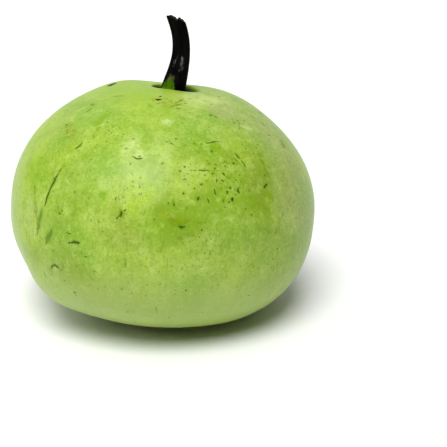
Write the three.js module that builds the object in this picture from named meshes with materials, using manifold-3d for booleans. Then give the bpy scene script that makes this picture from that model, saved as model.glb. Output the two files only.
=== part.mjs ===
// A whole apple gourd: a squat round fruit that leans a little, with its dried stem.
// Millimetres, +Z up.  The fruit rests at z = 0 on a small flattened spot round the origin.
import * as THREE from 'three';
import * as BufferGeometryUtils from 'three/addons/utils/BufferGeometryUtils.js';
import Module from 'manifold-3d';

// The fruit, measured in its own upright frame with the girth at height 0.
const GIRTH_RADIUS = 95;
const CROWN_HEIGHT = 77.5;
const BASE_DEPTH = 68.2;
const CROWN_FULLNESS = 2.1;
const BASE_FULLNESS = 2.55;
const LOBE_COUNT = 3;
const LOBE_SHARE = 0.012;
const LOBE_REACH = 68;
const LEAN = THREE.MathUtils.degToRad(5.5);
const TILT_BACK = THREE.MathUtils.degToRad(3.5);

// Soft swells and flats of the skin.  Each has a compass angle from +X, an angle above the
// girth, a height in millimetres and the angle over which it fades.
const SWELLS = [
  { around: -140, above: -31, lift: 2.6, fade: 12 },
  { around: -158, above: -19, lift: -1.9, fade: 9 },
  { around: 140, above: 58, lift: 2, fade: 13 },
  { around: 100, above: 62, lift: -1.4, fade: 15 },
  { around: 36, above: 57, lift: 1.6, fade: 14 },
  { around: 11, above: 36, lift: -0.5, fade: 14 },
  { around: 75, above: 8, lift: 1.2, fade: 18 },
  { around: 110, above: -30, lift: 1.4, fade: 20 },
  { around: -40, above: -38, lift: 1.1, fade: 18 },
];

// The crown sinks in two steps: a wide dip, then a narrow hollow round the stem.
const DIP_DEPTH = 1.6;
const DIP_RADIUS = 32;
const HOLLOW_DEPTH = 13;
const HOLLOW_MEAN_RADIUS = 12.6;
const HOLLOW_OFF_CENTRE = 2.5;
const HOLLOW_STRETCH = 3.2;
const SEAT_RADIUS = 8.8;
const SEAT_DEPTH = 0.6;
const SEAT_CLEARANCE = 30;

// The scar the flower left at the base, and the spot the fruit lies on.
const SCAR_DEPTH = 2.4;
const SCAR_RADIUS = 11;
const REST_CUT = 2.2;
const REST_ACROSS = 17;
const REST_BACK = 10;

// The stem: a flared foot, five soft ribs, a bow towards +X and a slanting cut end.
const STEM_LENGTH = 54.5;
const FOOT_RADIUS = 7.35;
const SHAFT_RADIUS = 4.65;
const FLARE_LENGTH = 27;
const FLARE_POWER = 2.6;
const RIB_COUNT = 5;
const RIB_SHARE = 0.09;
const BOW = 5;
const BOW_POWER = 1.45;
const TIP_OFFSET = -2;
const CUT_RISE = 0.32;
const FIT_GAP = 0.3;

// How finely the skin and the stem are divided, and how far the skin's rings crowd together
// towards the crown and the base, from 0 for even to 1.
const AROUND = 60;
const RINGS = 46;
const CROWDING = 0.85;
const STEM_AROUND = 30;
const STEM_RINGS = 16;

const wasm = await Module();
wasm.setup();

// Turns a three.js geometry into a closed solid, dropping the slivers at its poles.
function solidFrom(geometry) {
  const bare = geometry.clone();
  bare.deleteAttribute('normal');
  bare.deleteAttribute('uv');
  const merged = BufferGeometryUtils.mergeVertices(bare, 1e-4);
  const corners = merged.index.array;
  const kept = [];
  for (let i = 0; i < corners.length; i += 3) {
    const [a, b, c] = [corners[i], corners[i + 1], corners[i + 2]];
    if (a !== b && b !== c && c !== a) {
      kept.push(a, b, c);
    }
  }
  return new wasm.Manifold(new wasm.Mesh({
    numProp: 3,
    vertProperties: new Float32Array(merged.attributes.position.array),
    triVerts: new Uint32Array(kept),
  }));
}

function geometryFrom(solid) {
  const mesh = solid.getMesh();
  const geometry = new THREE.BufferGeometry();
  geometry.setAttribute('position', new THREE.BufferAttribute(mesh.vertProperties, 3));
  geometry.setIndex(new THREE.BufferAttribute(mesh.triVerts, 1));
  geometry.computeVertexNormals();
  return geometry;
}

// Moves every corner of a geometry to where the rule puts it.
function reshape(geometry, rule) {
  const corners = geometry.attributes.position;
  const corner = new THREE.Vector3();
  for (let i = 0; i < corners.count; i += 1) {
    corner.fromBufferAttribute(corners, i);
    rule(corner);
    corners.setXYZ(i, corner.x, corner.y, corner.z);
  }
  return geometry;
}

// Height the crown loses in the wide dip.
function dipSink(radius) {
  return DIP_DEPTH * Math.exp(-((radius / DIP_RADIUS) ** 2));
}

// Height the crown loses in the hollow, a steep-walled oval that is longest along X.
function hollowSink(radius, around) {
  const edge = HOLLOW_MEAN_RADIUS
    + HOLLOW_OFF_CENTRE * Math.cos(around)
    + HOLLOW_STRETCH * Math.cos(2 * around);
  return HOLLOW_DEPTH * Math.max(0, 1 - (radius / edge) ** 4) ** 2;
}

// Height the base loses over the flower scar.
function scarSink(radius) {
  return SCAR_DEPTH * Math.max(0, 1 - (radius / SCAR_RADIUS) ** 2) ** 2;
}

// Half the outline of the fruit from base to crown.
function fruitProfile() {
  const points = [];
  for (let i = 0; i <= RINGS; i += 1) {
    const share = i / RINGS;
    const polar = Math.PI * share - CROWDING * Math.sin(2 * Math.PI * share) / 2;
    const upper = share > 0.5;
    const fullness = upper ? CROWN_FULLNESS : BASE_FULLNESS;
    const radius = GIRTH_RADIUS * Math.sin(polar) ** (2 / fullness);
    const rise = Math.abs(Math.cos(polar)) ** (2 / fullness);
    const height = upper
      ? CROWN_HEIGHT * rise - dipSink(radius)
      : scarSink(radius) - BASE_DEPTH * rise;
    const onAxis = i === 0 || i === RINGS;
    points.push(new THREE.Vector2(onAxis ? 0 : radius, height));
  }
  return points;
}

function directionOf(swell) {
  const around = THREE.MathUtils.degToRad(swell.around);
  const above = THREE.MathUtils.degToRad(swell.above);
  return new THREE.Vector3(
    Math.cos(above) * Math.cos(around),
    Math.cos(above) * Math.sin(around),
    Math.sin(above),
  );
}

// The fruit widens and narrows a little three times round its girth, and swells in places.
function unevenSkin(corner) {
  const around = Math.atan2(corner.y, corner.x);
  const radius = Math.hypot(corner.x, corner.y);
  if (corner.z > 0) {
    corner.z -= hollowSink(radius, around);
  }
  const reach = Math.min(1, radius / LOBE_REACH);
  const widening = 1 + LOBE_SHARE * Math.cos(LOBE_COUNT * around) * reach;
  corner.x *= widening;
  corner.y *= widening;
  const outward = corner.clone().normalize();
  for (const swell of SWELLS) {
    const apart = THREE.MathUtils.radToDeg(outward.angleTo(directionOf(swell)));
    corner.addScaledVector(outward, swell.lift * Math.exp(-((apart / swell.fade) ** 2)));
  }
}

const seatHeight = CROWN_HEIGHT - dipSink(0) - HOLLOW_DEPTH - SEAT_DEPTH;

function upright(geometry) {
  return geometry.rotateX(Math.PI / 2);
}

// Puts a geometry made in the fruit's own frame where it lies on the table.
function layDown(geometry) {
  return geometry
    .rotateX(-TILT_BACK)
    .rotateY(LEAN)
    .translate(-REST_ACROSS, -REST_BACK, restHeight);
}

function fruitSkin() {
  return reshape(upright(new THREE.LatheGeometry(fruitProfile(), AROUND)), unevenSkin);
}

// Depth of the lowest point below the girth once the fruit leans.
function lowestReach() {
  const leaning = fruitSkin().rotateX(-TILT_BACK).rotateY(LEAN);
  leaning.computeBoundingBox();
  return -leaning.boundingBox.min.z;
}

const restHeight = lowestReach() - REST_CUT;

function fruitSolid() {
  const seat = upright(new THREE.CylinderGeometry(SEAT_RADIUS, SEAT_RADIUS, SEAT_CLEARANCE, 36))
    .translate(0, 0, seatHeight + SEAT_CLEARANCE / 2);
  const table = new THREE.BoxGeometry(4 * GIRTH_RADIUS, 4 * GIRTH_RADIUS, 2 * GIRTH_RADIUS)
    .translate(0, 0, -GIRTH_RADIUS);
  return solidFrom(layDown(fruitSkin()))
    .subtract(solidFrom(layDown(seat)))
    .subtract(solidFrom(table));
}

// Radius of the stem at a share of its length: a wide foot, a waist, a slightly fuller end.
function stemRadius(share) {
  const flare = Math.exp(-((share * STEM_LENGTH / FLARE_LENGTH) ** FLARE_POWER));
  return SHAFT_RADIUS + (FOOT_RADIUS - SHAFT_RADIUS) * flare;
}

function stemProfile() {
  const points = [new THREE.Vector2(0, 0)];
  for (let i = 0; i <= STEM_RINGS; i += 1) {
    const share = i / STEM_RINGS;
    points.push(new THREE.Vector2(stemRadius(share), share * STEM_LENGTH));
  }
  points.push(new THREE.Vector2(0, STEM_LENGTH));
  return points;
}

// Ribs run up the stem, the whole stem bows, and its end is cut on a slant.
function shapeStem(corner) {
  const share = Math.max(0, corner.z / STEM_LENGTH);
  const around = Math.atan2(corner.y, corner.x);
  const rib = 1 + RIB_SHARE * Math.cos(RIB_COUNT * around) * share ** 0.5;
  const bow = BOW * Math.sin(Math.PI * share ** BOW_POWER);
  corner.x *= rib;
  corner.y *= rib;
  corner.z -= CUT_RISE * corner.x * share ** 6;
  corner.x += bow + TIP_OFFSET * share;
}

function stemSolid() {
  const shaft = upright(new THREE.LatheGeometry(stemProfile(), STEM_AROUND));
  reshape(shaft, shapeStem);
  shaft.translate(0, 0, seatHeight + FIT_GAP);
  return solidFrom(layDown(shaft));
}

function part(name, solid, colour, roughness) {
  const material = new THREE.MeshStandardMaterial({ color: colour, roughness, metalness: 0 });
  const mesh = new THREE.Mesh(geometryFrom(solid), material);
  mesh.name = name;
  return mesh;
}

const gourd = new THREE.Group();
gourd.name = 'apple_gourd';
gourd.add(part('fruit', fruitSolid(), 0xa3c552, 0.45));
gourd.add(part('stem', stemSolid(), 0x1a1714, 0.7));

export default gourd;
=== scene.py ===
# An apple gourd standing on a table: the round rind, then its dried stem, then the table,
# the light and the camera.  Metres, +Z up, as the frame is.
import math

import bpy
from mathutils import Euler, Matrix, Vector


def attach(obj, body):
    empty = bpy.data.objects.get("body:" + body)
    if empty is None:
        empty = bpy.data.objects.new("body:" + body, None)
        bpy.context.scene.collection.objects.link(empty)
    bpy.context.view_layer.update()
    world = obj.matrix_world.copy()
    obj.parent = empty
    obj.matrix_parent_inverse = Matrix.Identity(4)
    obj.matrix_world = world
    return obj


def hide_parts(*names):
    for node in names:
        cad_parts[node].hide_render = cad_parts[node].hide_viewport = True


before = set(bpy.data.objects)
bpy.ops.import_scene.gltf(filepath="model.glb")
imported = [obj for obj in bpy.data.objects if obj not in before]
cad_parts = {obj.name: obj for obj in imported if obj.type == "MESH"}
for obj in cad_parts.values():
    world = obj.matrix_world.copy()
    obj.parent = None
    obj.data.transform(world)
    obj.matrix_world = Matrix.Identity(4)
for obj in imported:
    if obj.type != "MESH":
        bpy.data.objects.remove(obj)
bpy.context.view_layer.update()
scene = bpy.context.scene


# ---------------------------------------------------------------------------------------
# The rind: the hard green skin of one squat, round fruit with a hollow in its crown.  It grew
# as one piece, so one rule shapes it: a rounded outline turned round an axis, with soft swells
# where the flesh grew unevenly.  It leans, and lies on a spot that its weight has flattened.

class Field:
    """A number worked out at every point of a surface, inside a node tree."""

    def __init__(self, tree, socket):
        self.tree = tree
        self.socket = socket

    def put(self, operation, *others):
        node = self.tree.nodes.new("ShaderNodeMath")
        node.operation = operation
        for socket, value in zip(node.inputs, (self, *others)):
            feed(self.tree, socket, value)
        return Field(self.tree, node.outputs[0])

    def __add__(self, other):
        return self.put("ADD", other)

    def __sub__(self, other):
        return self.put("SUBTRACT", other)

    def __mul__(self, other):
        return self.put("MULTIPLY", other)

    def __truediv__(self, other):
        return self.put("DIVIDE", other)

    def __pow__(self, other):
        return self.put("POWER", other)

    def __rsub__(self, other):
        return (self * -1.0) + other

    def __rtruediv__(self, other):
        return other * (self ** -1.0)

    __radd__ = __add__
    __rmul__ = __mul__

    def __neg__(self):
        return self * -1.0


def feed(tree, socket, value):
    """Wires a field into a socket, or sets the socket to a plain value."""
    if isinstance(value, Field):
        tree.links.new(value.socket, socket)
    elif isinstance(value, bpy.types.NodeSocket):
        tree.links.new(value, socket)
    else:
        socket.default_value = value


def add(tree, kind, settings=None, **inputs):
    """Adds a node with its settings, and feeds the inputs named (spaces as underscores)."""
    node = tree.nodes.new(kind)
    for name, value in (settings or {}).items():
        setattr(node, name, value)
    for name, value in inputs.items():
        feed(tree, node.inputs[name.replace("_", " ")], value)
    return node


def split(tree, vector):
    """The three fields of a vector socket."""
    node = add(tree, "ShaderNodeSeparateXYZ", Vector=vector)
    return [Field(tree, socket) for socket in node.outputs]


def joined(tree, x, y, z):
    """A vector socket made of three fields."""
    return add(tree, "ShaderNodeCombineXYZ", X=x, Y=y, Z=z).outputs[0]


def vector_step(tree, operation, first, second=None, scale=None):
    """The output of one step of vector arithmetic."""
    node = tree.nodes.new("ShaderNodeVectorMath")
    node.operation = operation
    feed(tree, node.inputs[0], first)
    if second is not None:
        feed(tree, node.inputs[1], second)
    if scale is not None:
        feed(tree, node.inputs["Scale"], scale)
    if operation in {"DOT_PRODUCT", "LENGTH", "DISTANCE"}:
        return Field(tree, node.outputs["Value"])
    return node.outputs["Vector"]


def noise(tree, vector, size, detail=2.0, rough=0.5, colour=False):
    """Cloudy noise whose patches are about one size across, in metres."""
    node = add(tree, "ShaderNodeTexNoise", Vector=vector, Scale=1.0 / size, Detail=detail,
               Roughness=rough)
    return node.outputs["Color"] if colour else Field(tree, node.outputs[0])


def new_tree(name, sizes):
    """A Geometry Nodes tree with one named input for each size.  Returns it and its fields."""
    tree = bpy.data.node_groups.new(name, "GeometryNodeTree")
    for label, value in sizes.items():
        kind = "NodeSocketInt" if isinstance(value, int) else "NodeSocketFloat"
        tree.interface.new_socket(name=label, in_out="INPUT", socket_type=kind)
    tree.interface.new_socket(name="Geometry", in_out="OUTPUT", socket_type="NodeSocketGeometry")
    source = tree.nodes.new("NodeGroupInput")
    return tree, {label: Field(tree, source.outputs[label]) for label in sizes}


def finish_tree(tree, geometry, material):
    """Ends a tree with smooth shading, real geometry and its material."""
    smooth = add(tree, "GeometryNodeSetShadeSmooth", Geometry=geometry)
    real = add(tree, "GeometryNodeRealizeInstances", Geometry=smooth.outputs[0])
    finished = add(tree, "GeometryNodeSetMaterial", Geometry=real.outputs[0],
                   Material=material)
    tree.links.new(finished.outputs[0], tree.nodes.new("NodeGroupOutput").inputs[0])


def grow(name, tree, sizes, material):
    """Runs a tree once and returns its result as a plain mesh object."""
    piece = bpy.data.objects.new(name, bpy.data.meshes.new(name + "_seed"))
    scene.collection.objects.link(piece)
    modifier = piece.modifiers.new("grow", "NODES")
    modifier.node_group = tree
    for socket in tree.interface.items_tree:
        if socket.in_out == "INPUT":
            modifier[socket.identifier] = sizes[socket.name]
    ready = piece.evaluated_get(bpy.context.evaluated_depsgraph_get())
    mesh = bpy.data.meshes.new_from_object(ready)
    piece.modifiers.remove(modifier)
    piece.data = mesh
    mesh.name = name
    mesh.materials.clear()
    mesh.materials.append(material)
    return piece


# Lengths in metres and angles in radians; the rest are counts, shares and powers.
RIND_SIZES = {
    "Around": 384,
    "Rings": 256,
    "Hollow rings": 0.26,
    "Hollow angle": 0.22,
    "Base crowding": 0.35,
    "Girth radius": 0.095,
    "Crown height": 0.0775,
    "Base depth": 0.0682,
    "Crown fullness": 2.1,
    "Base fullness": 2.55,
    "Lobe share": 0.012,
    "Lobe reach": 0.068,
    "Dip depth": 0.0016,
    "Dip radius": 0.032,
    "Hollow depth": 0.013,
    "Hollow flatness": 4.0,
    "Hollow mean radius": 0.0126,
    "Hollow off centre": 0.0025,
    "Hollow stretch": 0.0032,
    "Scar depth": 0.0024,
    "Scar radius": 0.011,
    "Scar flatness": 2.0,
    "Unevenness": 0.0007,
    "Unevenness size": 0.030,
    "Lean": math.radians(5.5),
    "Tilt back": math.radians(3.5),
    "Rest cut": 0.0022,
    "Rest across": 0.017,
    "Rest back": 0.010,
}

# Compass angle from +X, angle above the girth, height in metres, and angle it fades over.
SWELLS = [
    (-140, -31, 0.0026, 12),
    (-158, -19, -0.0019, 9),
    (140, 58, 0.0020, 13),
    (100, 62, -0.0014, 15),
    (36, 57, 0.0016, 14),
    (11, 36, -0.0005, 14),
    (75, 8, 0.0012, 18),
    (110, -30, 0.0014, 20),
    (-40, -38, 0.0011, 18),
]


def toward(around, above):
    """The direction at a compass angle and a height angle, in degrees."""
    around, above = math.radians(around), math.radians(above)
    return Vector((math.cos(above) * math.cos(around),
                   math.cos(above) * math.sin(around),
                   math.sin(above)))


def bell(distance, reach):
    """A soft hump: 1 in the middle, falling away over the reach."""
    return (-((distance / reach) ** 2.0)).put("EXPONENT")


def pit(distance, edge, flatness):
    """A steep-sided pit: 1 in the middle and 0 from the edge outwards."""
    return (1.0 - (distance / edge) ** flatness).put("MAXIMUM", 0.0) ** 2.0


def position(tree):
    """Where each point of the surface is."""
    return tree.nodes.new("GeometryNodeInputPosition").outputs[0]


def moved(tree, geometry, place):
    """A surface with each of its points put at a new place."""
    return add(tree, "GeometryNodeSetPosition", Geometry=geometry, Position=place).outputs[0]


def labelled(tree, geometry, name, vector):
    """Stores a vector on every point, under a name that a material can read."""
    node = add(tree, "GeometryNodeStoreNamedAttribute", {"data_type": "FLOAT_VECTOR"},
               Geometry=geometry, Name=name)
    feed(tree, next(i for i in node.inputs if i.name == "Value" and i.enabled), vector)
    return node.outputs[0]


def outline(tree, size):
    """The rounded outline turned round the fruit's axis, with its lobes, dip, hollow and scar."""
    x, y, z = split(tree, position(tree))
    around = y.put("ARCTAN2", x)
    even = z.put("MINIMUM", 1.0).put("MAXIMUM", -1.0).put("ARCCOSINE") / math.pi
    inner = (even / size["Hollow rings"]).put("MINIMUM", 1.0)
    outer = ((even - size["Hollow rings"]) / (1.0 - size["Hollow rings"])).put("MAXIMUM", 0.0)
    outer = outer * (1.0 + size["Base crowding"] * (1.0 - outer))
    polar = inner * size["Hollow angle"] + outer * (math.pi - size["Hollow angle"])
    upper = polar.put("LESS_THAN", math.pi / 2)
    fullness = size["Base fullness"] + upper * (size["Crown fullness"] - size["Base fullness"])
    bend = 2.0 / fullness
    radius = size["Girth radius"] * polar.put("SINE").put("MAXIMUM", 0.0) ** bend
    rise = polar.put("COSINE").put("ABSOLUTE") ** bend
    edge = (size["Hollow mean radius"] + size["Hollow off centre"] * around.put("COSINE")
            + size["Hollow stretch"] * (around * 2.0).put("COSINE"))
    sink = (size["Dip depth"] * bell(radius, size["Dip radius"])
            + size["Hollow depth"] * pit(radius, edge, size["Hollow flatness"]))
    crown = size["Crown height"] * rise - sink
    base = (size["Scar depth"] * pit(radius, size["Scar radius"], size["Scar flatness"])
            - size["Base depth"] * rise)
    height = base + upper * (crown - base)
    reach = (radius / size["Lobe reach"]).put("MINIMUM", 1.0)
    radius = radius * (1.0 + size["Lobe share"] * (around * 3.0).put("COSINE") * reach)
    return joined(tree, radius * around.put("COSINE"), radius * around.put("SINE"), height)


def swollen(tree, size, place):
    """A place on the outline, pushed out or in where the flesh grew more or less."""
    outward = vector_step(tree, "NORMALIZE", place)
    push = (noise(tree, place, size["Unevenness size"], detail=3.0) - 0.5) * size["Unevenness"]
    for compass, above, lift, fade in SWELLS:
        facing = vector_step(tree, "DOT_PRODUCT", outward, toward(compass, above))
        push = push + lift * ((facing - 1.0) * (2.0 / math.radians(fade) ** 2)).put("EXPONENT")
    return vector_step(tree, "ADD", place, vector_step(tree, "SCALE", outward, scale=push))


def laid_down(tree, size, upright):
    """Leans the fruit, and flattens it where it rests on the table."""
    x, y, z = split(tree, position(tree))
    cosine, sine = size["Tilt back"].put("COSINE"), size["Tilt back"].put("SINE")
    y, z = y * cosine + z * sine, z * cosine - y * sine
    cosine, sine = size["Lean"].put("COSINE"), size["Lean"].put("SINE")
    x, z = x * cosine + z * sine, z * cosine - x * sine
    leaning = moved(tree, upright,
                    joined(tree, x - size["Rest across"], y - size["Rest back"], z))
    _, _, lowest = split(tree, add(tree, "GeometryNodeBoundBox", Geometry=leaning).outputs["Min"])
    x, y, z = split(tree, position(tree))
    settled = (z - lowest - size["Rest cut"]).put("MAXIMUM", 0.0)
    return moved(tree, leaning, joined(tree, x, y, settled))


def rind_tree(material):
    """Makes the fruit out of a plain ball: shaped, swollen, leaned and set down."""
    tree, size = new_tree("Gourd rind", RIND_SIZES)
    ball = add(tree, "GeometryNodeMeshUVSphere", Segments=size["Around"],
               Rings=size["Rings"], Radius=1.0)
    grown = moved(tree, ball.outputs["Mesh"], swollen(tree, size, outline(tree, size)))
    upright = labelled(tree, grown, "own", position(tree))
    finish_tree(tree, laid_down(tree, size, upright), material)
    return tree


rind_finish = bpy.data.materials.new("rind")
rind_finish.use_nodes = True
rind = grow("rind", rind_tree(rind_finish), RIND_SIZES, rind_finish)
bpy.context.view_layer.update()

# The turn that lays the fruit's own upright frame down, and where that frame's origin is.
lean = (Matrix.Rotation(RIND_SIZES["Lean"], 4, "Y")
        @ Matrix.Rotation(-RIND_SIZES["Tilt back"], 4, "X"))
top = max(rind.data.vertices, key=lambda corner: corner.co.z)
heart = top.co - lean @ rind.data.attributes["own"].data[top.index].vector


def spot(right, up):
    """The place on the skin, by angles right of the front and above level from the heart."""
    right, up = math.radians(right), math.radians(up)
    way = Vector((math.sin(right) * math.cos(up), -math.cos(right) * math.cos(up),
                  math.sin(up)))
    return rind.ray_cast(heart, way)[1]


def ease(tree, value, low, high):
    """0 below low and 1 above high, easing between them; low may be the larger."""
    node = add(tree, "ShaderNodeMapRange", {"interpolation_type": "SMOOTHSTEP"},
               Value=value, From_Min=low, From_Max=high)
    return Field(tree, node.outputs[0])


def tint(tree, share, first, second):
    """First colour where share is 0, second where it is 1."""
    node = tree.nodes.new("ShaderNodeMix")
    node.data_type = "RGBA"
    feed(tree, node.inputs["Factor"], share)
    for socket, value in ((node.inputs[6], first), (node.inputs[7], second)):
        feed(tree, socket, value)
    return node.outputs[2]


def shade(red, green, blue):
    """A colour from its 8-bit sRGB values."""
    return tuple((v / 255 / 12.92) if v <= 10 else ((v / 255 + 0.055) / 1.055) ** 2.4
                 for v in (red, green, blue)) + (1.0,)


def shifted(tree, vector, size, amount):
    """A place pushed about by noise, so that what is drawn there gets ragged edges."""
    wander = vector_step(tree, "SUBTRACT", noise(tree, vector, size, colour=True),
                         (0.5, 0.5, 0.5))
    return vector_step(tree, "ADD", vector, vector_step(tree, "SCALE", wander, scale=amount))


def stroke_group():
    """A group that measures how far a place is from a stroke, in the stroke's half widths."""
    tree = bpy.data.node_groups.new("stroke", "ShaderNodeTree")
    for label, kind in (("Place", "Vector"), ("Start", "Vector"), ("Run", "Vector"),
                        ("Pace", "Float"), ("Half width", "Float"), ("Taper", "Float")):
        tree.interface.new_socket(name=label, in_out="INPUT", socket_type="NodeSocket" + kind)
    tree.interface.new_socket(name="Ratio", in_out="OUTPUT", socket_type="NodeSocketFloat")
    given = tree.nodes.new("NodeGroupInput").outputs
    offset = vector_step(tree, "SUBTRACT", given["Place"], given["Start"])
    share = vector_step(tree, "DOT_PRODUCT", offset, given["Run"]) * Field(tree, given["Pace"])
    share = share.put("MINIMUM", 1.0).put("MAXIMUM", 0.0)
    away = vector_step(tree, "DISTANCE", offset,
                       vector_step(tree, "SCALE", given["Run"], scale=share))
    narrowing = 1.0 - ((share * 2.0 - 1.0) ** 2.0) * Field(tree, given["Taper"])
    ratio = away / (Field(tree, given["Half width"]) * narrowing)
    tree.links.new(ratio.socket, tree.nodes.new("NodeGroupOutput").inputs[0])
    return tree


STROKE = stroke_group()
LENS_TAPER = 0.75


def nearness(tree, place, marks):
    """How far a place is from the nearest of several marks, in that mark's half widths."""
    ratios = []
    for half_width, *stops in marks:
        stops = [spot(*stop) for stop in stops]
        if len(stops) == 1:
            gap = vector_step(tree, "DISTANCE", place, stops[0])
            ratios.append(gap * (1000.0 / half_width))
        taper = LENS_TAPER if len(stops) == 2 else 0.0
        for start, end in zip(stops, stops[1:]):
            run = end - start
            node = add(tree, "ShaderNodeGroup", {"node_tree": STROKE}, Place=place,
                       Start=start, Run=run, Pace=1.0 / run.dot(run),
                       Half_width=half_width / 1000.0, Taper=taper)
            ratios.append(Field(tree, node.outputs[0]))
    nearest = ratios[0]
    for ratio in ratios[1:]:
        nearest = nearest.put("MINIMUM", ratio)
    return nearest


def scattered(tree, vector, spacing, radius):
    """Chance dots: how far a place is from the nearest, in its radii, and that dot's luck."""
    cells = add(tree, "ShaderNodeTexVoronoi", Vector=vector, Scale=1.0 / spacing)
    size, luck, _ = split(tree, cells.outputs["Color"])
    ratio = Field(tree, cells.outputs["Distance"]) * (spacing / radius) / (size + 0.5)
    return ratio, luck


# Marks that this fruit carries: half width in millimetres, then places as spot() takes them.
# One place makes a round mark, two a stroke that thins towards both ends, three a bent band.

# Cuts where it was dragged or knocked, healed to thin dark lines.
CUTS = [
    (0.50, (-40.5, 28.5), (-42, 22.5)),
    (0.75, (-41, 26.5), (-43, 18.5)),
    (0.65, (-42.5, 21), (-43.5, 13.5)),
    (0.35, (-31.5, 3.5), (-28.5, 4)),
    (0.85, (-29.5, 4), (-26, 4.5)),
    (0.25, (-32, 7), (-29.5, 7)),
    (0.30, (-10, 36.5), (-7, 35.5)),
    (0.34, (-8, 35.5), (-5, 36)),
    (0.42, (26, 41.5), (33.5, 41.5)),
    (0.20, (5, 43.5), (7.5, 43)),
    (0.20, (7, 43), (10, 41.5)),
    (0.45, (39, 35.5), (40, 32.5)),
    (0.30, (40, 32), (41, 29)),
    (0.34, (41, 56), (42.5, 54.5)),
    (0.28, (43.5, 54.5), (45, 52.5)),
    (0.70, (-11.5, 17), (-11.5, 14.5)),
    (0.25, (-13, 14), (-12, 15.5)),
    (0.25, (-11, 16.5), (-9.5, 17.5)),
    (0.20, (-10.5, 15), (-9.5, 13.5)),
    (0.40, (7, 20.5), (7.5, 18.5)),
    (0.35, (5.5, 20), (5, 19)),
    (0.40, (98, 44), (91, 42.5)),
    (0.45, (100.5, 33.5), (94, 32.5)),
    (0.65, (45.5, 20), (48.5, 21)),
    (0.30, (-34.5, -11), (-33.5, -11.5)),
    (0.25, (-24.5, 0), (-23, 0)),
    (0.55, (-39.5, -7.5), (-38, -6)),
    (0.55, (-38.5, -6), (-35.5, -6.5)),
    (0.24, (14.5, 31), (26.5, 30)),
    (0.50, (33.5, 22.5), (33.5, 20)),
    (0.32, (23.5, 23.5), (23.5, 21)),
    (0.32, (25.5, 27), (25, 25.5)),
    (0.30, (20, 20.5), (20.5, 18.5)),
    (0.30, (37, 34), (38.5, 30.5)),
    (0.25, (11, 28), (14, 28)),
    (0.45, (118, 24), (123, 15)),
    (0.40, (152, 33), (160, 35)),
    (0.35, (-122, 30), (-116, 33)),
    (0.50, (-150, 12), (-147, 4)),
    (0.35, (175, 50), (179, 46)),
]
# Specks where something bit or pricked it, dark green to black.
SPECKS = [
    (0.40, (11, 44.5)),
    (0.55, (26.5, 37.5), (28, 38)),
    (0.40, (3.5, 34)),
    (0.45, (10.5, 31)),
    (0.50, (26, 31)),
    (0.55, (24.5, 29)),
    (0.40, (28.5, 28.5), (29.5, 27.5)),
    (0.60, (35.5, 31.5)),
    (0.50, (18.5, 25.5)),
    (0.50, (11, 23)),
    (0.50, (16, 20), (17, 21.5)),
    (0.75, (28.5, 21.5)),
    (0.50, (30.5, 22.5), (30, 23.5)),
    (0.55, (29.5, 18), (30.5, 19.5)),
    (0.30, (26.5, 19.5), (26, 18.5)),
    (0.35, (27.5, 26.5), (28, 25.5)),
    (0.35, (41, 22)),
    (0.40, (53, 48.5)),
    (0.35, (56, 47)),
    (0.35, (58.5, 48.5)),
    (0.30, (55, 50)),
    (0.45, (28.5, 18)),
    (0.45, (46, 38)),
    (0.35, (46.5, 36)),
    (0.40, (55, 36)),
    (0.60, (88, 63.5), (85.5, 62.5)),
    (0.60, (92.5, 56)),
    (0.55, (70.5, 37.5), (70, 36.5)),
    (0.40, (63.5, 47.5)),
    (0.35, (53, 45)),
    (0.40, (48.5, 24)),
    (0.35, (-11, 44)),
    (0.35, (-13.5, 39.5)),
    (0.35, (-10, 33.5)),
    (0.30, (-5.5, 28.5)),
    (0.35, (8, 52.5)),
    (0.50, (-58, 44)),
    (0.40, (-51, 41.5)),
    (0.40, (-11.5, -11)),
    (0.50, (-35.5, 13)),
    (0.30, (-34.5, 14)),
    (0.25, (-36.5, 14.5)),
    (0.45, (-31, -16)),
    (0.50, (-14, 21.5), (-14, 20.5)),
    (0.60, (8.5, 11.5), (11, 11.5)),
    (0.35, (23.5, 33)),
    (0.45, (20, 42)),
    (0.35, (23.5, 41.5)),
    (0.40, (37, 12)),
    (0.55, (132, 40), (134, 39)),
    (0.45, (168, 20)),
    (0.50, (-168, 38)),
    (0.45, (-135, 45)),
    (0.50, (-105, 18)),
    (0.40, (108, 8)),
    (0.45, (145, -4)),
]
# Deep scabs, almost black; the three at the top left are painted shade inside a small fold of the
# skin.
SCABS_AND_FOLD_SHADE = [
    (1.30, (1, 70.5)),
    (0.90, (-1.5, 70.5)),
    (0.80, (3.5, 71)),
    (0.80, (3.5, 74.5)),
    (1.80, (-111, 65.5)),
    (2.20, (-115, 65.5)),
    (1.80, (-119, 65.5)),
    (0.50, (28.5, 21.5)),
    (0.40, (29.5, 18), (30.5, 19.5)),
]
# Rubs, where the wax is off and the skin shows a fresher green.
RUBS = [
    (3.4, (-36.5, 52.5)),
    (2.8, (-37.5, 49)),
    (2.2, (-37.5, 55), (-35, 49)),
    (2.2, (-35, 47.5), (-33, 45.5)),
    (3.2, (-20, 21), (-17.5, 22)),
    (1.6, (26.5, 40), (33, 39)),
    (1.5, (20.5, 42)),
    (1.5, (8, 22), (6.5, 16.5)),
    (1.3, (-12.5, 18), (-10.5, 14)),
    (1.8, (-10, 65), (-4, 63)),
    (1.3, (46.5, 19.5), (48.5, 14)),
    (2.2, (26, 19)),
    (3.0, (140, 50), (146, 47)),
    (2.4, (-130, 24), (-124, 20)),
]
# Bruises, a darker green.
BRUISES = [
    (2.0, (-38.5, 6.5), (-41.5, 1)),
    (0.8, (-38.5, 36), (-36.5, 39.5)),
    (1.0, (-62.5, 57.5), (-57, 57.5)),
    (0.9, (-55, 53), (-54, 55.5)),
    (1.5, (8.5, 12), (10.5, 11)),
    (1.4, (-44.5, 12.5), (-46.5, 3)),
]
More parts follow.
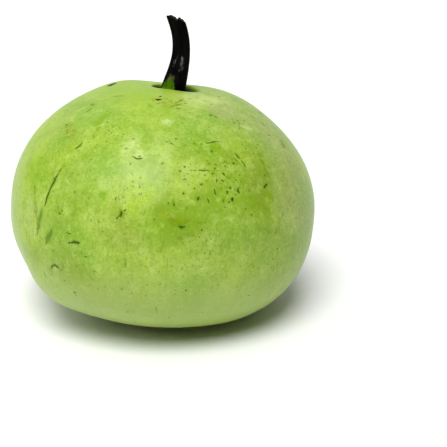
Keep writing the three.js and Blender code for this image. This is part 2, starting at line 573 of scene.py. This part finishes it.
# Olive stains, where a leaf or another fruit lay on the skin.
STAINS = [
    (2.3, (52.5, 32)),
    (1.6, (51, 29)),
    (1.8, (50.5, 28), (50, 22)),
    (1.8, (75, 48), (75.5, 44)),
    (2.0, (74.5, 43), (77.5, 40.5)),
    (1.8, (-52, 19), (-46.5, 7.5)),
    (2.2, (78.5, 32), (73, 28.5)),
    (1.6, (-60, 66), (-41.5, 70)),
    (1.4, (-40.5, -7), (-39, -9)),
    (2.2, (4, 14), (12, 13)),
    (2.6, (128, 12), (134, 4)),
    (2.4, (-158, 26), (-150, 22)),
]
# Patches of fine russet.
RUSSET = [
    (3.8, (-55, 43.5)),
    (3.4, (-48, 42)),
    (2.0, (3.5, 15.5)),
    (2.6, (-1, 71.5)),
    (2.2, (19.5, 66.5)),
    (1.8, (14, 8)),
    (3.4, (160, 58)),
    (3.0, (-118, 48)),
]
# Stretch lines round the hollow.
ARCS = [
    (0.45, (-9.5, 70.5), (-3, 71)),
    (0.35, (-6.5, 69), (-2.5, 69)),
    (0.45, (-1.5, 66), (4, 67.5)),
    (0.50, (3, 67.5), (10, 67.5)),
    (0.35, (3.5, 65), (8.5, 65)),
    (0.35, (6, 71), (14.5, 72.5)),
    (0.35, (12, 68.5), (18.5, 69.5)),
    (0.45, (12, 64), (15.5, 64.5)),
    (0.55, (15, 64.5), (25.5, 66)),
    (0.40, (18.5, 67.5), (24, 68.5)),
    (0.40, (23, 68), (36, 70.5)),
    (0.35, (28.5, 66.5), (33, 66)),
    (0.50, (15.5, 62), (22, 62.5)),
    (0.28, (38, 69), (52, 70.5)),
]
# Pale waxy bloom; its first stroke is a painted highlight on the hollow's near lip, its last one
# under the lamp.
BLOOM_AND_HIGHLIGHT = [
    (1.4, (56, 73), (80, 70.5)),
    (1.2, (-168, 76), (-148, 76)),
    (3.6, (-10.5, 43), (-13.5, 39)),
    (3.4, (7, 55.5), (8, 51.5)),
    (2.6, (55.5, 47.5), (61, 42)),
    (1.6, (-37.5, -8)),
    (3.4, (124, 52), (132, 50)),
    (3.0, (-176, 30), (-168, 28)),
    (2.6, (-9, 38), (-2, 36)),
]
# Where chance dots, crumbs and nicks lie thick.
PEPPER = [
    (20.0, (26, 24), (38, 33)),
    (10.0, (-14, 24), (-2, 22)),
    (7.0, (53, 49), (60, 46)),
    (7.0, (-30, 48), (-18, 45)),
    (16.0, (118, 30), (134, 22)),
    (12.0, (-160, 34), (-148, 28)),
]
# Broad parts of the skin: deeper green, cooler green, pale, dusty, waxed, fresh and dull, three
# with some painted light.
# Deeper green low on the front right: partly the skin's own and partly painted shade, as from
# something close in front.
DEEP_GREEN_AND_SHADE = [
    (18, (6, 18), (16, 5)),
    (16, (34, 17), (54, 14)),
]
COOL = [
    (16, (-35, 24), (-31, 4)),
    (10, (-50, 36), (-44, 40)),
]
# Pale skin; its second and third strokes, high on the front, are a painted highlight under the
# lamp.
WAN_AND_HIGHLIGHT = [
    (12, (-48, -22), (-24, -28), (-8, -30)),
    (9, (-16, 38), (-8, 36)),
    (11, (0, 44), (9, 36)),
    (9, (60, 70), (78, 60)),
]
# Paler and greyer on the right shoulder and side: partly a dusty bloom, partly painted reflection
# at the edge.
DUSTY_AND_REFLECTION = [
    (14, (48, 60), (68, 46)),
    (17, (74, 38), (66, 26), (62, 12)),
]
WAXED = [
    (8, (34, 74), (60, 70), (76, 63)),
]
FRESH = [
    (12, (-60, 24), (-58, 12), (-56, 2)),
    (12, (-80, 30), (-88, 44), (-92, 60)),
    (10, (-12, 25), (0, 24)),
]
DULL = [
    (15, (36, 24), (50, 22)),
    (13, (-14, 18), (-6, 4)),
    (13, (-34, -8), (-22, -14), (-12, -12)),
]


def coated(tree, colour, *coats):
    """A colour with thin coats laid over it in turn, each given by its share and its colour."""
    for share, hue in coats:
        colour = tint(tree, share, colour, hue)
    return colour


class Skin:
    """Where each point of the rind is, and the noises that its colours are worked out from."""

    def __init__(self, tree):
        self.here = tree.nodes.new("ShaderNodeTexCoord").outputs["Object"]
        self.own = add(tree, "ShaderNodeAttribute", {"attribute_name": "own"}).outputs["Vector"]
        self.elsewhere = vector_step(tree, "ADD", self.own, (0.4, 0.1, 0.7))
        self.x, self.y, self.z = split(tree, self.own)
        self.from_axis = (self.x * self.x + self.y * self.y).put("SQRT")
        self.belly = ease(tree, self.z, 0.045, 0.000)

        # A place squashed in height and pulled onto the girth: noise there makes upright streaks.
        girth = RIND_SIZES["Girth radius"]
        ribbon = joined(tree, self.x / self.from_axis * girth,
                        self.y / self.from_axis * girth, self.z * 0.24)
        self.ribbon = shifted(tree, ribbon, 0.016, 0.0060)

        self.cloud = noise(tree, self.own, 0.060)
        self.cool = noise(tree, self.elsewhere, 0.030, detail=1.0)
        self.drift = noise(tree, self.elsewhere, 0.015, detail=4.0, rough=0.62)
        self.mottle = noise(tree, self.elsewhere, 0.0055, detail=3.0, rough=0.7)
        self.grain = noise(tree, self.own, 0.0018, detail=2.0, rough=0.65)
        self.fleck = noise(tree, self.elsewhere, 0.0011, detail=1.0)
        self.streak = noise(tree, self.ribbon, 0.0034, detail=3.0, rough=0.6)
        self.crowded = ease(tree, self.mottle + (self.drift - 0.5) * 0.8, 0.52, 0.36)


def living_green(tree, skin):
    """The colour of clean skin, with some painted shade and highlight: clouds and drifts of
    green, mottling, belly streaks.
    """
    colour = tint(tree, ease(tree, skin.cloud, 0.36, 0.64),
                  shade(146, 174, 60), shade(133, 163, 48))
    colour = coated(
        tree, colour,
        (ease(tree, skin.cool, 0.50, 0.66) * 0.55, shade(122, 162, 48)),
        (ease(tree, skin.cool, 0.48, 0.32) * 0.50, shade(158, 182, 52)))
    adrift = shifted(tree, skin.here, 0.026, 0.030)
    # Broad parts; the deeper green holds painted shade, the pale a painted highlight, the dusty
    # painted reflection.
    for places, share, hue in ((DEEP_GREEN_AND_SHADE, 0.65, shade(108, 144, 4)),
                               (COOL, 0.55, shade(120, 154, 48)),
                               (WAN_AND_HIGHLIGHT, 0.60, shade(170, 192, 96)),
                               (DUSTY_AND_REFLECTION, 0.80, shade(150, 162, 92)),
                               (WAXED, 0.65, shade(186, 200, 114)),
                               (FRESH, 0.65, shade(150, 182, 10)),
                               (DULL, 0.50, shade(124, 142, 50))):
        reach = ease(tree, nearness(tree, adrift, places), 1.7, 0.1)
        colour = tint(tree, reach * share, colour, hue)
    # Fewer pale grains where the deeper green and its painted shade lie.
    deep_green_and_shade = ease(tree, nearness(tree, adrift, DEEP_GREEN_AND_SHADE), 1.9, 0.0)
    colour = coated(
        tree, colour,
        (ease(tree, skin.drift, 0.50, 0.70) * 0.50, shade(118, 152, 10)),
        (ease(tree, skin.drift, 0.48, 0.30) * 0.55, shade(162, 186, 92)),
        (ease(tree, skin.mottle, 0.52, 0.70) * 0.40, shade(174, 197, 92)),
        (ease(tree, skin.mottle, 0.48, 0.30) * 0.45, shade(112, 146, 12)),
        (ease(tree, skin.grain, 0.46, 0.30) * 0.45, shade(104, 140, 10)),
        (ease(tree, skin.grain, 0.54, 0.72) * (0.32 - deep_green_and_shade * 0.26),
         shade(180, 202, 98)),
        (ease(tree, skin.streak, 0.52, 0.68) * (0.10 + skin.belly * 0.30),
         shade(112, 138, 22)),
        (ease(tree, skin.fleck, 0.56, 0.72) * (0.15 + skin.crowded * 0.40),
         shade(90, 118, 0)))

    # Yellower on one side of the crown, and greyer and paler under the belly, where wax is
    # thicker.
    crown = ease(tree, skin.from_axis, 0.060, 0.025) * ease(tree, skin.z, 0.0, 0.05)
    foot = ease(tree, skin.z + (skin.cloud - 0.5) * 0.06, -0.008, -0.050)
    return coated(
        tree, colour,
        (crown * ease(tree, skin.x, 0.014, -0.014) * 0.70, shade(136, 172, 0)),
        (foot * 0.65, shade(162, 185, 98)))


class Marks:
    """How strongly each kind of mark shows at each point of the rind."""

    def __init__(self, tree, skin):
        blurred = shifted(tree, skin.here, 0.0075, 0.0070)
        ragged = shifted(tree, skin.here, 0.0024, 0.0018)
        frayed = (skin.grain - 0.5) * 1.6 + (skin.fleck - 0.5) * 1.2
        # Bloom, with two strokes of painted highlight among it.
        self.bloom_and_highlight = ease(tree, nearness(tree, blurred, BLOOM_AND_HIGHLIGHT), 1.9, 0.0)
        self.russet = ease(tree, nearness(tree, blurred, RUSSET), 1.8, 0.3)
        self.stains = ease(tree, nearness(tree, blurred, STAINS), 1.7, 0.3)
        rubs = nearness(tree, blurred, RUBS) + frayed * 0.5
        self.rubs = ease(tree, rubs, 1.5, 0.3)
        arcs = nearness(tree, ragged, ARCS) + frayed * 0.6
        self.arcs = ease(tree, arcs, 2.0, 0.6)
        # Scabs, and the painted shade of a small fold at the top left.
        scabs_and_fold_shade = nearness(tree, ragged, SCABS_AND_FOLD_SHADE) + frayed * 0.5
        self.scabs_and_fold_shade = ease(tree, scabs_and_fold_shade, 1.4, 0.7)

        # How far the nearest is, as these show in more than one way.
        self.bruises = nearness(tree, ragged, BRUISES) + frayed * 0.6
        self.specks = nearness(tree, ragged, SPECKS) + frayed
        self.cuts = nearness(tree, ragged, CUTS) + frayed * 0.5
        self.sharp = self.cuts.put("MINIMUM", self.specks)

        # Chance marks, too small and too many to place one by one.
        thick = ease(tree, nearness(tree, blurred, PEPPER), 1.3, 0.2)
        dot, luck = scattered(tree, skin.own, 0.0065, 0.00042)
        self.dots = (ease(tree, dot + frayed, 1.5, 0.7)
                     * ease(tree, luck - thick * 0.55 - skin.drift * 0.5, 0.30, 0.15))
        crumb, luck = scattered(tree, skin.elsewhere, 0.0022, 0.00036)
        self.crumbs = (ease(tree, crumb + frayed, 1.6, 0.6)
                       * ease(tree, luck - thick * 0.55 - skin.crowded * 0.20, 0.15, -0.10))
        tall = joined(tree, skin.x, skin.y, skin.z * 0.40)
        nick, luck = scattered(tree, shifted(tree, tall, 0.006, 0.0012), 0.0014, 0.00030)
        self.nicks = (ease(tree, nick + frayed, 1.6, 0.6)
                      * ease(tree, luck - thick * 0.6, 0.02, -0.14))
        dash, luck = scattered(tree, skin.ribbon, 0.0050, 0.00040)
        self.dashes = (ease(tree, dash + frayed, 1.6, 0.6) * skin.belly
                       * ease(tree, luck - skin.drift * 0.6, 0.20, 0.05))


def marked(tree, skin, marks, colour):
    """The skin's colour with its marks on it, from the palest and widest to the darkest."""
    hazy = ease(tree, skin.mottle, 0.36, 0.62)
    rusty = ease(tree, skin.grain + (skin.fleck - 0.5) * 0.6, 0.50, 0.36)
    blotchy = ease(tree, skin.mottle + (skin.fleck - 0.5) * 0.6, 0.30, 0.62)
    mood = ease(tree, noise(tree, skin.own, 0.012), 0.36, 0.60)
    return coated(
        tree, colour,
        (marks.bloom_and_highlight * (0.22 + hazy * 0.40), shade(188, 204, 132)),
        (marks.russet * 0.30, shade(158, 166, 40)),
        (marks.russet * rusty * 0.70, shade(104, 100, 14)),
        (marks.stains * (0.25 + blotchy * 0.60), shade(108, 128, 0)),
        (marks.rubs * (0.75 + blotchy * 0.25), shade(114, 152, 0)),
        (ease(tree, marks.bruises, 2.0, 0.9) * 0.70, shade(110, 148, 0)),
        (ease(tree, marks.bruises, 1.2, 0.4) * (0.50 + blotchy * 0.40), shade(74, 108, 0)),
        (marks.arcs * 0.80, shade(118, 100, 8)),
        (ease(tree, marks.sharp, 3.6, 1.0) * 0.50, shade(102, 138, 0)),
        (marks.crumbs * 0.75, shade(70, 98, 0)),
        (marks.dashes * 0.60, shade(88, 112, 4)),
        (marks.nicks * 0.70, shade(66, 94, 0)),
        (marks.dots * 0.80, shade(62, 84, 0)),
        (ease(tree, marks.specks, 1.5, 0.6) * (0.60 + mood * 0.40), shade(50, 78, 0)),
        (ease(tree, marks.cuts, 1.6, 0.6) * (0.85 + mood * 0.15), shade(46, 72, 0)),
        (marks.scabs_and_fold_shade * 0.96, shade(18, 21, 0)))


def painted_hollow_shade(tree, skin, colour):
    """Painted shade: darkens the hollow's walls by depth below the crown, more at its narrow end.
    """
    fullness = RIND_SIZES["Crown fullness"]
    fall = (skin.from_axis / RIND_SIZES["Girth radius"]) ** fullness / fullness
    crown_line = (RIND_SIZES["Crown height"] * (1.0 - fall)
                  - RIND_SIZES["Dip depth"] * bell(skin.from_axis, RIND_SIZES["Dip radius"]))
    narrow_end = ease(tree, skin.x, -0.004, -0.012)
    sunk = (crown_line - skin.z) * (1.0 + narrow_end) + (skin.mottle - 0.5) * 0.0012
    inside = ease(tree, skin.from_axis, 0.0215, 0.0185) * ease(tree, skin.z, 0.0, 0.04)
    # Where the painted shade in the hollow is deepest; it also makes the skin there rougher.
    hollow_shade = inside * ease(tree, sunk, 0.0009, 0.0034)
    colour = coated(
        tree, colour,
        (inside * ease(tree, sunk, 0.0002, 0.0014) * 0.85, shade(92, 108, 34)),
        (hollow_shade * 0.92, shade(26, 34, 0)),
        (inside * ease(tree, sunk, 0.0030, 0.0068), shade(6, 8, 1)))
    return colour, hollow_shade


def underside(tree, skin, colour):
    """Adds the yellow spot where the fruit lay on the soil, and the cork the flower left."""
    _, _, above = split(tree, skin.here)
    lain = ease(tree, above + (skin.drift - 0.5) * 0.014, 0.0070, 0.0010)
    below = ease(tree, skin.z, -0.050, -0.060)
    ring = ease(tree, skin.from_axis + (skin.mottle - 0.5) * 0.003, 0.0085, 0.0060) * below
    cork = ease(tree, skin.from_axis + (skin.mottle - 0.5) * 0.002, 0.0046, 0.0032) * below
    colour = coated(
        tree, colour,
        (lain * 0.70, shade(206, 200, 118)),
        (ring * 0.75, shade(164, 150, 92)),
        (cork * 0.90, shade(96, 74, 44)))
    return colour, cork


def rind_skin(material):
    """Waxed skin: its colour, then a shine that wear and marks dull, then its fine relief."""
    tree = material.node_tree
    shader = tree.nodes["Principled BSDF"]
    skin = Skin(tree)
    marks = Marks(tree, skin)
    colour = marked(tree, skin, marks, living_green(tree, skin))
    # Painted shade darkens the walls of the hollow.
    colour, hollow_shade = painted_hollow_shade(tree, skin, colour)
    colour, cork = underside(tree, skin, colour)
    feed(tree, shader.inputs["Base Color"], colour)

    dull = ease(tree, marks.sharp, 1.6, 0.8).put("MAXIMUM", marks.scabs_and_fold_shade)
    spotted = marks.bloom_and_highlight * 0.10 + cork * 0.30 + hollow_shade * 0.30 + marks.russet * 0.10 + dull * 0.40
    feed(tree, shader.inputs["Roughness"],
         0.38 + (skin.mottle - 0.5) * 0.14 + (skin.grain - 0.5) * 0.10 + spotted)
    shader.inputs["Specular IOR Level"].default_value = 0.24
    shader.inputs["Sheen Weight"].default_value = 0.10
    shader.inputs["Sheen Roughness"].default_value = 0.35
    shader.inputs["Sheen Tint"].default_value = shade(220, 245, 170)

    relief = (skin.drift * 0.00034 + skin.mottle * 0.00022 + skin.grain * 0.00008
              - ease(tree, marks.cuts, 1.5, 0.3) * 0.00030
              + marks.dots * 0.00010 + cork * 0.0004)
    bump = add(tree, "ShaderNodeBump", Height=relief, Distance=1.0, Strength=0.6)
    feed(tree, shader.inputs["Normal"], bump.outputs[0])


rind_skin(rind_finish)
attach(rind, "root")
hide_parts("fruit")


# ---------------------------------------------------------------------------------------
# The stem: the stalk that the fruit hung by, dried hard and almost black, with five ribs, a
# flared foot that is still green on one side where it grows out of the hollow, and a ragged
# end where it broke from the vine.

STEM_SIZES = {
    "Around": 144,
    "Along": 130,
    "Across": 12,
    "Length": 0.0557,
    "Foot radius": 0.0076,
    "Shaft radius": 0.0050,
    "Flare length": 0.0269,
    "Flare power": 2.97,
    "Tip swell": 0.0002,
    "Ribs": 5,
    "Rib share": 0.09,
    "Twist": math.radians(20),
    "Furrow": 0.085,
    "Knot": 0.08,
    "Bow": 0.0047,
    "Bow power": 1.53,
    "Tip offset": -0.0015,
    "Foot offset": -0.0012,
    "End slant": 0.117,
    "End rounding": 0.0015,
    "End dish": 0.0018,
    "Tear": 0.0016,
    "Split": 0.0015,
    "Split place": 0.0004,
    "Split width": 0.00055,
    "End power": 6.0,
    "Torn power": 45.0,
    "Thread size": 0.0017,
    "Knot size": 0.009,
    "Tear size": 0.0011,
}
FOOT_SINK = 0.0003


def stem_tree(material):
    """Makes the stalk out of a plain rod: flared, ribbed, torn at its end and bowed."""
    tree, size = new_tree("Gourd stem", STEM_SIZES)
    rod = add(tree, "GeometryNodeMeshCylinder", {"fill_type": "TRIANGLE_FAN"},
              Vertices=size["Around"], Side_Segments=size["Along"],
              Fill_Segments=size["Across"], Radius=1.0, Depth=1.0)
    x, y, z = split(tree, position(tree))
    share = (z + 0.5).put("MAXIMUM", 0.0).put("MINIMUM", 1.0)
    inward = (x * x + y * y).put("SQRT")
    around = y.put("ARCTAN2", x)
    along = share * size["Length"]
    turned = around + size["Twist"] * share
    level_x = turned.put("COSINE") * inward * size["Shaft radius"]
    level_y = turned.put("SINE") * inward * size["Shaft radius"]
    fibred = labelled(tree, rod.outputs["Mesh"], "fibre", joined(tree, level_x, level_y, along))

    flare = (-((along / size["Flare length"]) ** size["Flare power"])).put("EXPONENT")
    radius = (size["Shaft radius"] + (size["Foot radius"] - size["Shaft radius"]) * flare
              + size["Tip swell"] * share ** 3.0)
    rib = size["Rib share"] * (turned * size["Ribs"]).put("COSINE") * share ** 0.5
    thread = noise(tree, joined(tree, level_x, level_y, along * 0.10), size["Thread size"],
                   detail=3.0)
    knot = noise(tree, joined(tree, level_x, level_y, along), size["Knot size"])
    uneven = (thread - 0.5) * size["Furrow"] + (knot - 0.5) * size["Knot"]
    reach = radius * (1.0 + rib + uneven) * inward
    px, py = reach * around.put("COSINE"), reach * around.put("SINE")

    late = share ** size["End power"]
    torn = share ** size["Torn power"]
    tear = noise(tree, joined(tree, px, py * 0.35, 0.0), size["Tear size"]) - 0.5
    right = px.put("MAXIMUM", 0.0) / size["Shaft radius"]
    height = (along - size["End slant"] * px * late
              - size["End rounding"] * right ** 2.0 * late
              - torn * size["End dish"] * (1.0 - inward ** 2.0)
              + torn * size["Tear"] * tear
              - torn * size["Split"] * bell(px - size["Split place"], size["Split width"]))
    rise = (height / size["Length"]).put("MAXIMUM", 0.0).put("MINIMUM", 1.0)
    bow = (size["Bow"] * (rise ** size["Bow power"] * math.pi).put("SINE")
           + size["Tip offset"] * rise + size["Foot offset"] * (1.0 - rise) ** 2.0)
    finish_tree(tree, moved(tree, fibred, joined(tree, px + bow, py, height)), material)
    return tree


stem_finish = bpy.data.materials.new("dried_stem")
stem_finish.use_nodes = True
stem = grow("stem_bark", stem_tree(stem_finish), STEM_SIZES, stem_finish)
seat = (RIND_SIZES["Crown height"] - RIND_SIZES["Dip depth"] - RIND_SIZES["Hollow depth"]
        - FOOT_SINK)
stem.data.transform(Matrix.Translation(heart) @ lean @ Matrix.Translation((0, 0, seat)))


def stem_bark(material):
    """Dried bark: near black and dusty, with painted grey glints of light on its ribs, and still
    green at the foot.
    """
    tree = material.node_tree
    shader = tree.nodes["Principled BSDF"]
    fibre = add(tree, "ShaderNodeAttribute", {"attribute_name": "fibre"}).outputs["Vector"]
    x, y, along = split(tree, fibre)
    inward = (x * x + y * y).put("SQRT") / STEM_SIZES["Shaft radius"]
    straight = joined(tree, x, y, along * 0.09)
    thread = noise(tree, straight, 0.0009, detail=3.0, rough=0.65)
    strip = noise(tree, straight, 0.0030)
    patch = noise(tree, fibre, 0.0060, detail=3.0, rough=0.6)
    ends = along + (noise(tree, straight, 0.0011) - 0.5) * 0.008
    edges = (noise(tree, fibre, 0.0022, detail=3.0) - 0.5) * 0.0012

    def side(compass, half_angle, low, high, spread=0.0):
        """A soft-edged patch, by compass angle and height; it may widen towards the foot."""
        facing = (x * math.cos(math.radians(compass)) + y * math.sin(math.radians(compass))
                  + edges)
        half = math.radians(half_angle) + (high - along) * math.radians(spread) * 1000.0
        rim = half.put("COSINE") * STEM_SIZES["Shaft radius"]
        return (ease(tree, facing - rim, -0.00018, 0.00018)
                * ease(tree, ends, low - 0.0012, low + 0.0012)
                * ease(tree, ends, high + 0.0012, high - 0.0012))

    dust = ease(tree, patch, 0.58, 0.72) * ease(tree, thread, 0.46, 0.60)
    # Two pale grey streaks on the ribs are a painted highlight: glints of light on the dark bark.
    spotted = side(-112, 9, 0.0275, 0.0315).put("MAXIMUM", side(-60, 11, 0.0250, 0.0325))
    grey = side(-108, 17, 0.0165, 0.0212)
    green = side(-112, 18, -0.0100, 0.0188, spread=3.0)
    foliage = tint(tree, ease(tree, thread, 0.35, 0.65), shade(50, 84, 2), shade(74, 112, 8))
    foliage = tint(tree, ease(tree, along, 0.0145, 0.0110), foliage, shade(100, 134, 20))
    end = ease(tree, along, STEM_SIZES["Length"] * 0.985, STEM_SIZES["Length"])
    pith = end * ease(tree, inward, 0.95, 0.70)
    colour = tint(tree, ease(tree, thread, 0.40, 0.66), shade(2, 2, 2), shade(10, 9, 7))
    colour = coated(
        tree, colour,
        (ease(tree, strip, 0.50, 0.70) * 0.6, shade(1, 1, 1)),
        (dust * 0.12, shade(52, 48, 42)),
        (spotted * ease(tree, thread, 0.40, 0.60) * 0.85, shade(104, 104, 102)),
        (grey * 0.75, shade(76, 82, 46)),
        (green * 0.95, foliage),
        (pith * 0.85, shade(50, 39, 28)))
    feed(tree, shader.inputs["Base Color"], colour)
    feed(tree, shader.inputs["Roughness"], 0.58 + (thread - 0.5) * 0.3 - green * 0.12)
    shader.inputs["Specular IOR Level"].default_value = 0.03
    relief = thread * 0.00022 + strip * 0.00018 + patch * 0.00010
    bump = add(tree, "ShaderNodeBump", Height=relief, Distance=1.0, Strength=0.8)
    feed(tree, shader.inputs["Normal"], bump.outputs[0])


stem_bark(stem_finish)
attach(stem, "root")
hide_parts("stem")


# ---------------------------------------------------------------------------------------
# The table: a wide white sheet, without any shine, that the gourd stands on.  It is there for
# the picture and is no part of the gourd.

bpy.ops.mesh.primitive_plane_add(size=12.0)
table = bpy.context.object
table.name = "table"
white = bpy.data.materials.new("white_table")
white.use_nodes = True
white.node_tree.nodes["Principled BSDF"].inputs["Base Color"].default_value = (0.8, 0.8, 0.8, 1)
white.node_tree.nodes["Principled BSDF"].inputs["Roughness"].default_value = 0.9
white.node_tree.nodes["Principled BSDF"].inputs["Specular IOR Level"].default_value = 0.0
table.data.materials.append(white)


# ---------------------------------------------------------------------------------------
# The light: one soft lamp high in front, weaker ones above and to the left of it, and one low
# behind that only catches the edges, in an almost unlit white room.

world = bpy.data.worlds.new("white_room")
scene.world = world
world.use_nodes = True
room = world.node_tree
for old in list(room.nodes):
    room.nodes.remove(old)
seen = add(room, "ShaderNodeBackground", Color=(1, 1, 1, 1), Strength=1.2)
lit = add(room, "ShaderNodeBackground", Color=(1, 1, 1, 1), Strength=0.05)
path = room.nodes.new("ShaderNodeLightPath")
mix = room.nodes.new("ShaderNodeMixShader")
room.links.new(path.outputs["Is Camera Ray"], mix.inputs[0])
room.links.new(lit.outputs[0], mix.inputs[1])
room.links.new(seen.outputs[0], mix.inputs[2])
room.links.new(mix.outputs[0], room.nodes.new("ShaderNodeOutputWorld").inputs[0])


def soft_lamp(name, left, above, strength, spread):
    """A far-off lamp with soft edges, by its angles left of the front and above level."""
    lamp = bpy.data.lights.new(name, "SUN")
    lamp.energy = strength
    lamp.angle = math.radians(spread)
    holder = bpy.data.objects.new(name, lamp)
    scene.collection.objects.link(holder)
    holder.rotation_euler = Euler((math.radians(90 - above), 0, math.radians(-left)))
    return holder


soft_lamp("front_lamp", left=9, above=57, strength=3.0, spread=32)
soft_lamp("overhead_lamp", left=9, above=76, strength=0.7, spread=40)
soft_lamp("left_lamp", left=60, above=45, strength=0.85, spread=45)
soft_lamp("back_lamp", left=180, above=25, strength=1.3, spread=100)


# ---------------------------------------------------------------------------------------
# The camera: a long lens a little above the fruit and looking down at it, which keeps the
# fruit up and to the left.

aim = Vector((0.0218, 0.0, 0.0516))
distance = 0.799
look_down = math.radians(20)
lens = bpy.data.cameras.new("camera")
lens.lens = 100
lens.sensor_width = 36
camera = bpy.data.objects.new("camera", lens)
scene.collection.objects.link(camera)
camera.location = aim + distance * Vector((0, -math.cos(look_down), math.sin(look_down)))
camera.rotation_euler = Euler((math.radians(90) - look_down, 0, 0))
scene.camera = camera
scene.view_settings.view_transform = "Standard"
